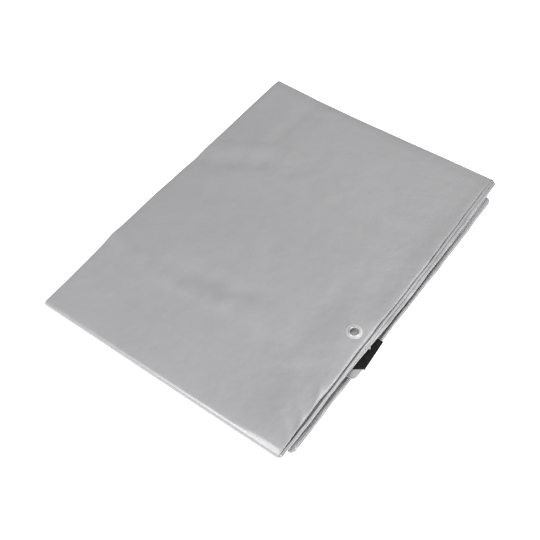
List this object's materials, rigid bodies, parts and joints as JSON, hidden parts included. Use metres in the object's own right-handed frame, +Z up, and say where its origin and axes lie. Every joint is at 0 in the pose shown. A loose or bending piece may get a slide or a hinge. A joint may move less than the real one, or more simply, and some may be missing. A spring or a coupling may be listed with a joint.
{
  "type": "folded tarp",
  "caption": "Grey coated tarpaulin folded to a flat rectangular pack, with a rolled front fold, hems with a round metal eyelet and a black corner patch on one side.",
  "frame": {"origin": "centre of the pack's box, on the surface that it lies on", "axes": "+X across the short side to the hems with the eyelets, +Y along the long side from the rolled front fold to the back fold, +Z up"},
  "size_m": [0.3576, 0.486, 0.0289],
  "materials": {
    "coated_cloth": "satin plastic coating over a fine weave",
    "hem_cloth": "satin plastic coating over a fine weave",
    "eyelet_metal": "polished",
    "black_patch": "dull woven black"
  },
  "bodies": {
    "root": {"tarp_sheet": "coated_cloth", "hem_strip_upper": "hem_cloth", "hem_strip_lower": "hem_cloth", "eyelet_upper": "eyelet_metal", "eyelet_lower": "eyelet_metal", "corner_patch": "black_patch"}
  },
  "joints": []
}
